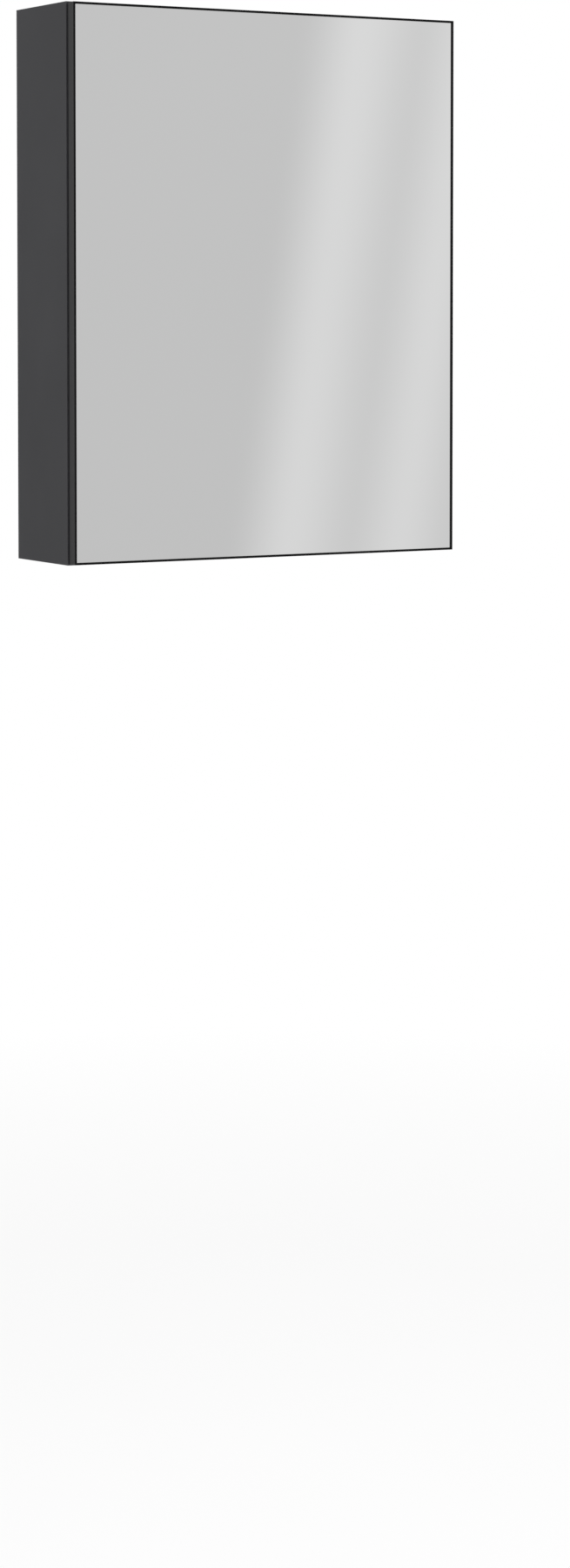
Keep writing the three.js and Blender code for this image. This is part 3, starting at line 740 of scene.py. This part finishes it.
def make_arm(level):
    """A stamped channel with a curved neck, a pressed rib and two slots for its screws."""
    node = f"hinge_arm_{level}"
    low, high = box_mm(node)
    height = (low.z + high.z) / 2
    depth = ARM_INNER - ARM_FACE
    turn = facing((-1, 0, 0), (ARM_INNER, 0, height))
    arm = to_object(f"{node}_detail", raised(arm_outline(), 0, depth, ARM_ROUNDING, turn))
    inside = raised(arm_outline(SHEET), -1, depth - SHEET, 0, turn)
    boolean("DIFFERENCE", arm, to_object("inside", inside))
    pivot = ARM_PIVOT
    root = ARM_FRONT + NOSE_ROOT
    nose = [(ARM_FACE + NOSE_INSET, root), *arc((pivot.x, pivot.y), NOSE_RADIUS, 180, 360, CAP_STEPS),
            (ARM_INNER - NOSE_INSET, root)]
    nose_solid = raised(nose, height - KNUCKLE_HALF, height + KNUCKLE_HALF, KNUCKLE_ROUNDING)
    boolean("UNION", arm, to_object("nose", nose_solid))
    cutters = [bore_cutter(PIVOT_BORE, (0, 0, 1), (pivot.x, pivot.y, height))]
    for kind, length in SLOT_LENGTHS.items():
        screw_low, screw_high = box_mm(f"hinge_{kind}_screw_{level}")
        middle = (screw_low.y + screw_high.y) / 2
        slot = facing((-1, 0, 0), (ARM_FACE + SHEET + 0.5, middle, height))
        slot_outline = rounded_box((length, SLOT_WIDTH), SLOT_WIDTH / 2 - 0.05)
        cutters.append(to_object("slot", raised(slot_outline, 0, 4, 0, slot)))
    rib = facing((-1, 0, 0), (ARM_FACE + RIB_DEPTH, RIB_MIDDLE, height))
    rib_outline = rounded_box((RIB_LENGTH, RIB_WIDTH), RIB_WIDTH / 2 - 0.1)
    cutters.append(to_object("rib", raised(rib_outline, 0, 2, 0, rib)))
    boolean("DIFFERENCE", arm, *cutters)
    add_piece(arm, "carcass", "zinc_steel", NICKEL, node)


def make_plate(level):
    """A cross-shaped mounting plate: a rounded body on a wing with round ends."""
    node = f"hinge_plate_{level}"
    low, high = box_mm(node)
    height = (low.z + high.z) / 2
    middle = (low.y + high.y) / 2
    body_turn = facing((-1, 0, 0), (high.x, middle, height))
    body_outline = rounded_box((high.y - low.y, PLATE_BODY_HEIGHT), PLATE_CORNER)
    plate = to_object(f"{node}_detail", raised(body_outline, 0, high.x - low.x, PLATE_ROUNDING, body_turn))
    screws = [box_mm(f"plate_screw_{level}_{end}") for end in ("bottom", "top")]
    screw_y = (screws[0][0].y + screws[0][1].y) / 2
    wing_turn = facing((-1, 0, 0), (high.x, screw_y, height))
    wing_outline = rounded_box((WING_WIDTH, high.z - low.z), WING_WIDTH / 2 - 0.1, 10)
    wing = to_object("wing", raised(wing_outline, 0, WING_THICKNESS, WING_ROUNDING, wing_turn))
    boolean("UNION", plate, wing)
    cutters = []
    for screw_low, screw_high in screws:
        at = (high.x, screw_y, (screw_low.z + screw_high.z) / 2)
        cutters.append(bore_cutter(SCREW_HOLE, (1, 0, 0), at))
    for kind in ("fixing", "side_adjust"):
        screw_low, screw_high = box_mm(f"hinge_{kind}_screw_{level}")
        at = (low.x, (screw_low.y + screw_high.y) / 2, height)
        thread = [(0, -1), (THREAD_HOLE, -1), (THREAD_HOLE, 6), (0, 6)]
        cutters.append(to_object("thread", turned(thread, (1, 0, 0), at, SMALL_STEPS)))
    boolean("DIFFERENCE", plate, *cutters)
    add_piece(plate, "carcass", "zinc_steel", NICKEL, node)


make_screws()
for hinge in ("lower", "upper"):
    make_cup(hinge)
    make_link(hinge)
    make_arm(hinge)
    make_plate(hinge)


# ---------------------------------------------------------------- shelf pins, bumpers, hanger covers

PIN_RADIUS = 2.5
TIP_ROUNDING = 0.7
PIN_GROOVE = 0.25              # depth of the grooves between the shank's rings
RINGS = (1.2, 3.0, 4.8)        # where each ring starts, from the panel's face
RING_SLOPE, RING_LENGTH = 0.4, 1.4
PIN_POINT = (0.8, 0.9)         # length and depth of the taper at the shank's end
PIN_STEPS = 40
COLLAR_RADIUS = 4.0
COLLAR_ROUNDING = 0.3
COLLAR_FACE, COLLAR_BACK = 1.1, 0.3    # in front of the panel's face
COLLAR_DROP = 1.6              # how far the collar's middle is below the shank's
FLAT_CUTTER = (40, 20)


def make_shelf_pin(node):
    """A plated pin: a ringed shank in the panel, a collar, and a flat-topped tongue with a round tip."""
    low, high = box_mm(node)
    side = 1 if high.x > 0 else -1
    tip, end = (low.x, high.x) if side > 0 else (-high.x, -low.x)
    top = high.z
    height = low.z + COLLAR_RADIUS + COLLAR_DROP
    row = (low.y + high.y) / 2
    panel = box_mm("side_panel_right")[0].x
    out = (side, 0, 0)
    radius = PIN_RADIUS
    tongue = [(0, tip), *[(radius - TIP_ROUNDING + TIP_ROUNDING * math.sin(t),
                           tip + TIP_ROUNDING - TIP_ROUNDING * math.cos(t))
                          for t in [math.pi / 2 * i / 5 for i in range(1, 6)]]]
    waist = radius - PIN_GROOVE
    rings = [p for start in (panel + x for x in RINGS)
             for p in ((waist, start), (radius, start + RING_SLOPE),
                       (radius, start + RING_LENGTH - RING_SLOPE), (waist, start + RING_LENGTH))]
    point = [(waist, end - PIN_POINT[0]), (radius - PIN_POINT[1], end), (0, end)]
    profile = [*tongue, (radius, panel), *rings, *point]
    pin = to_object(f"{node}_detail", turned(profile, out, (0, row, height), PIN_STEPS))
    face, back = panel - COLLAR_FACE, panel - COLLAR_BACK
    collar = [(0, face), (COLLAR_RADIUS - COLLAR_ROUNDING, face), (COLLAR_RADIUS, face + COLLAR_ROUNDING),
              (COLLAR_RADIUS, back), (0, back)]
    lower = (0, row, height - COLLAR_DROP)
    boolean("UNION", pin, to_object("collar", turned(collar, out, lower, PIN_STEPS)))
    turn = Matrix.Translation((side * (panel - 5), row, 0))
    flat = raised(rounded_box(FLAT_CUTTER, 1), top, top + 12, 0, turn)
    boolean("DIFFERENCE", pin, to_object("flat", flat))
    add_piece(pin, "carcass", "zinc_steel", NICKEL, node)


BUMPER_FOOT = 0.4              # the bumper's straight side, of its height
BUMPER_CHAMFER = 0.15
BUMPER_STEPS = 48


def make_bumper(node):
    """A clear domed bumper on a short straight foot."""
    low, high = box_mm(node)
    middle = (low + high) / 2
    radius, rise = (high.x - low.x) / 2, high.y - low.y
    foot = rise * BUMPER_FOOT
    dome = [(radius * math.cos(t), foot + (rise - foot) * math.sin(t))
            for t in [math.pi / 2 * i / 10 for i in range(10)]]
    profile = [(0, 0), (radius - BUMPER_CHAMFER, 0), (radius, BUMPER_CHAMFER), *dome, (0, rise)]
    shape = turned(profile, (0, 1, 0), (middle.x, low.y, middle.z), BUMPER_STEPS)
    bumper = to_object(f"{node}_detail", shape)
    add_piece(bumper, "door", "clear_rubber", RUBBER, node)


COVER_WALL = 1.2
COVER_CORNER = 2.4
COVER_ROUNDING = 1.0
COVER_OPEN = 4                 # the hollow runs out this far through the side next to the panel
GRIPS = 4
GRIP_PITCH = 2.4
GRIP_WIDTH = 1.1
GRIP_DEPTH = 0.35
GRIP_START = 8                 # the lowest grip groove's height above the cover's foot


def make_hanger_cover(node):
    """A clip-on cap with rounded edges and four grip grooves, open towards its panel."""
    low, high = box_mm(node)
    side = 1 if high.x > 0 else -1
    middle = (low + high) / 2
    size = (high.x - low.x, high.z - low.z)
    depth = high.y - low.y
    turn = facing((0, -1, 0), (middle.x, high.y, middle.z))
    outline = rounded_box(size, COVER_CORNER)
    cover = to_object(f"{node}_detail", raised(outline, 0, depth, COVER_ROUNDING, turn))
    inner = (size[0] - COVER_WALL + COVER_OPEN, size[1] - 2 * COVER_WALL)
    shift = Matrix.Translation(((COVER_WALL + COVER_OPEN) / 2 * side, 0, 0))
    hollow = raised(rounded_box(inner, COVER_WALL), -2, depth - COVER_WALL, 0, shift @ turn)
    boolean("DIFFERENCE", cover, to_object("hollow", hollow))
    grips = []
    for i in range(GRIPS):
        at = facing((0, -1, 0), (middle.x, low.y + GRIP_DEPTH, low.z + GRIP_START + GRIP_PITCH * i))
        groove = rounded_box((size[0] * 0.5, GRIP_WIDTH), 0.5)
        grips.append(to_object("grip", raised(groove, 0, 3, 0, at)))
    boolean("DIFFERENCE", cover, *grips)
    add_piece(cover, "carcass", "grey_plastic", GREY, node)


for entry in frame["record"]["subparts"]:
    if entry["node"].startswith("shelf_pin"):
        make_shelf_pin(entry["node"])
    elif entry["node"].startswith("bumper"):
        make_bumper(entry["node"])
    elif entry["node"].startswith("hanger_cover"):
        make_hanger_cover(entry["node"])


# ---------------------------------------------------------------- stage: floor, light, camera

FLOOR_LEVEL = -1.95
FLOOR_SIZE = 40.0
WHITE_FROM = 0.9        # the floor's tone fades to the background between these distances
WHITE_TO = 2.6
WHITENESS = (0.8, 1.0)  # how much of the background's white the floor has at those distances
FLOOR_REFLECTED = 0.68  # the distant floor's brightness in reflections


def make_floor():
    """A pale floor that fades to the background's white and can be seen through from below."""
    mesh = bpy.data.meshes.new("floor")
    half = FLOOR_SIZE / 2
    corners = [(-half, -half, 0), (half, -half, 0), (half, half, 0), (-half, half, 0)]
    mesh.from_pydata(corners, [], [(0, 1, 2, 3)])
    floor = bpy.data.objects.new("floor", mesh)
    bpy.context.scene.collection.objects.link(floor)
    floor.location.z = FLOOR_LEVEL

    s = Shader("pale_floor")
    cloud = s.noise(scale=2.0, detail=2.0)
    s.feed(Base_Color=s.blend(s.spread(cloud, 0.0, 1.0), (0.87, 0.87, 0.87), (0.89, 0.89, 0.89)))
    s.set(Roughness=0.9)
    distance = s.add("ShaderNodeVectorMath", operation="LENGTH")
    s.link(s.place, distance.inputs[0])
    seen = s.add("ShaderNodeLightPath").outputs["Is Camera Ray"]
    white = s.add("ShaderNodeEmission")
    white.inputs["Color"].default_value = (1, 1, 1, 1)
    s.link(s.spread(seen, FLOOR_REFLECTED, 1.0, 0.0, 1.0), white.inputs["Strength"])
    fade = s.add("ShaderNodeMixShader")
    s.link(s.spread(distance.outputs["Value"], *WHITENESS, WHITE_FROM, WHITE_TO), fade.inputs["Fac"])
    s.link(s.surface.outputs["BSDF"], fade.inputs[1])
    s.link(white.outputs["Emission"], fade.inputs[2])
    below = s.add("ShaderNodeNewGeometry").outputs["Backfacing"]
    clear = s.add("ShaderNodeBsdfTransparent")
    one_way = s.add("ShaderNodeMixShader")
    s.link(s.math("MULTIPLY", below, seen), one_way.inputs["Fac"])
    s.link(fade.outputs["Shader"], one_way.inputs[1])
    s.link(clear.outputs["BSDF"], one_way.inputs[2])
    s.link(one_way.outputs["Shader"], s.output.inputs["Surface"])
    wear(floor, s.material)


CARD_DISTANCE = 2.0            # in front of the mirror
CARD_LEFT, CARD_RIGHT = -6.0, 6.5
CARD_LOW, CARD_HIGH = -1.94, 3.2
CARD_TILT = math.radians(9.3)  # the strips lean with their tops to the right
CARD_MIDDLE = 1.235            # the strips are placed from here, at the height below
CARD_MIDDLE_HEIGHT = -0.252
CARD_FALL = 0.025              # how much dimmer the card gets per metre downwards
CARD_BASE = 0.6                # linear brightness left of the step
CARD_STEP = 0.065              # the panel is this much brighter on the right of the step
STEP_FROM, STEP_TO = -0.12, 0.05    # the step's place, right of CARD_MIDDLE
# Soft strips of light: middle in metres right of CARD_MIDDLE, half-width in metres, added brightness
STRIPS = [(0.052, 0.15, 0.09), (0.322, 0.13, 0.09), (-1.18, 0.28, 0.13), (-2.6, 0.35, 0.13)]


def make_card():
    """A soft light panel that only the reflections see, as the studio the mirror looks into."""
    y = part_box("mirror_glass")[0].y - CARD_DISTANCE
    corners = [(CARD_LEFT, y, CARD_LOW), (CARD_LEFT, y, CARD_HIGH),
               (CARD_RIGHT, y, CARD_HIGH), (CARD_RIGHT, y, CARD_LOW)]
    mesh = bpy.data.meshes.new("light_panel")
    mesh.from_pydata(corners, [], [(0, 1, 2, 3)])
    card = bpy.data.objects.new("light_panel", mesh)
    bpy.context.scene.collection.objects.link(card)
    card.visible_camera = False
    card.visible_diffuse = False
    card.visible_transmission = False
    card.visible_shadow = False

    s = Shader("light_panel")
    parts = s.add("ShaderNodeSeparateXYZ")
    s.link(s.place, parts.inputs["Vector"])
    across = s.math("SUBTRACT", parts.outputs["X"], CARD_MIDDLE)
    height = s.math("SUBTRACT", parts.outputs["Z"], CARD_MIDDLE_HEIGHT)
    lean = s.math("SUBTRACT", across, s.math("MULTIPLY", height, math.tan(CARD_TILT)))
    level = s.eased(lean, CARD_BASE, CARD_BASE + CARD_STEP, STEP_FROM, STEP_TO)
    for middle, half_width, gain in STRIPS:
        away = s.math("ABSOLUTE", s.math("SUBTRACT", lean, middle), 0.0)
        level = s.math("ADD", level, s.eased(away, gain, 0.0, 0.0, half_width))
    fall = s.math("ADD", s.math("MULTIPLY", height, CARD_FALL), 1.0)
    glow = s.add("ShaderNodeEmission")
    s.link(s.math("MULTIPLY", level, fall), glow.inputs["Strength"])
    s.link(glow.outputs["Emission"], s.output.inputs["Surface"])
    wear(card, s.material)


BACKDROP = 1.0                 # what the camera sees behind the object
BEHIND = 0.75                  # light arriving from behind the object
AHEAD = 0.5                    # light arriving from in front of it
TURN_WIDTH = 0.45              # the light changes from AHEAD to BEHIND within this of the middle
CLOUD_SCALE = 3.2
CLOUD_STRETCH = 0.12           # the clouds' upright scale
CLOUD_LEAN = math.radians(8)
CLOUD_RANGE = (0.35, 0.65)      # the noise's usual values
CLOUD_CONTRAST = (0.86, 1.14)   # the light's share at those values
WHITE = (1, 1, 1, 1)


def make_world():
    """A white backdrop for the camera, and a softly clouded light for everything else."""
    world = bpy.data.worlds.new("studio")
    bpy.context.scene.world = world
    world.use_nodes = True
    tree = world.node_tree
    tree.nodes.clear()

    def add(kind, sources=(), **values):
        """Adds a node with its inputs' values, and links sources to its first inputs."""
        node = tree.nodes.new(kind)
        for key, value in values.items():
            node.inputs[key.replace("_", " ")].default_value = value
        for socket, source in zip(node.inputs, sources):
            tree.links.new(source, socket)
        return node

    place = add("ShaderNodeTexCoord").outputs["Generated"]
    parts = add("ShaderNodeSeparateXYZ", [place])
    level = add("ShaderNodeMapRange", [parts.outputs["Y"]], From_Min=-TURN_WIDTH, From_Max=TURN_WIDTH,
                To_Min=AHEAD, To_Max=BEHIND)
    level.interpolation_type = "SMOOTHSTEP"
    sway = add("ShaderNodeMapping", [place], Scale=(1, 1, CLOUD_STRETCH), Rotation=(0, CLOUD_LEAN, 0))
    cloud = add("ShaderNodeTexNoise", [sway.outputs["Vector"]], Scale=CLOUD_SCALE, Detail=1.0)
    bands = add("ShaderNodeMapRange", [cloud.outputs["Fac"]], From_Min=CLOUD_RANGE[0],
                From_Max=CLOUD_RANGE[1], To_Min=CLOUD_CONTRAST[0], To_Max=CLOUD_CONTRAST[1])
    both = add("ShaderNodeMath", [level.outputs["Result"], bands.outputs["Result"]])
    both.operation = "MULTIPLY"
    seen = add("ShaderNodeBackground", Strength=BACKDROP, Color=WHITE)
    light = add("ShaderNodeBackground", Color=WHITE)
    tree.links.new(both.outputs["Value"], light.inputs["Strength"])
    path = add("ShaderNodeLightPath")
    choose = add("ShaderNodeMixShader", [path.outputs["Is Camera Ray"], light.outputs["Background"],
                                         seen.outputs["Background"]])
    add("ShaderNodeOutputWorld", [choose.outputs["Shader"]])


LIGHT_TARGET = (0, 0, -0.35)


def make_light(name, place, size, power, target=LIGHT_TARGET):
    """A soft rectangular lamp that reflections don't show."""
    lamp = bpy.data.lights.new(name, "AREA")
    lamp.shape = "RECTANGLE"
    lamp.size, lamp.size_y = size
    lamp.energy = power
    obj = bpy.data.objects.new(name, lamp)
    bpy.context.scene.collection.objects.link(obj)
    obj.location = place
    obj.rotation_euler = (Vector(target) - Vector(place)).to_track_quat("-Z", "Y").to_euler()
    obj.visible_glossy = False


CAMERA_PLACE = (-2.2620, -4.1373, -0.3636)
CAMERA_YAW = 29.964            # degrees to the right of straight at the wall
CAMERA_PITCH = 2.657           # degrees downwards
CAMERA_LENS = 76.36
CAMERA_RISE = -0.2016          # the view is shifted down, so uprights stay upright


def make_camera():
    """A long lens from the front left, about level with the cabinet's middle."""
    data = bpy.data.cameras.new("camera")
    data.sensor_width = 36
    data.lens = CAMERA_LENS
    data.shift_y = CAMERA_RISE
    data.clip_start, data.clip_end = 0.05, 100
    camera = bpy.data.objects.new("camera", data)
    bpy.context.scene.collection.objects.link(camera)
    camera.location = CAMERA_PLACE
    camera.rotation_euler = (math.radians(90 - CAMERA_PITCH), 0, -math.radians(CAMERA_YAW))
    bpy.context.scene.camera = camera


make_floor()
make_card()
make_world()
make_light("left_window", place=(-3.2, 0.2, 0.6), size=(2.4, 2.4), power=14)
make_light("top_soft", place=(0.2, -1.6, 2.4), size=(2.5, 2.5), power=14)
make_light("front_fill", place=(0.3, -3.2, 0.1), size=(2.6, 2.6), power=80)
make_light("left_front", place=(-2.6, -2.6, 0.2), size=(1.2, 2.2), power=9, target=(0.2, -0.1, -0.35))
make_camera()

scene = bpy.context.scene
scene.view_settings.view_transform = "Standard"
scene.view_settings.look = "None"
scene.view_settings.exposure = 0
scene.view_settings.gamma = 1
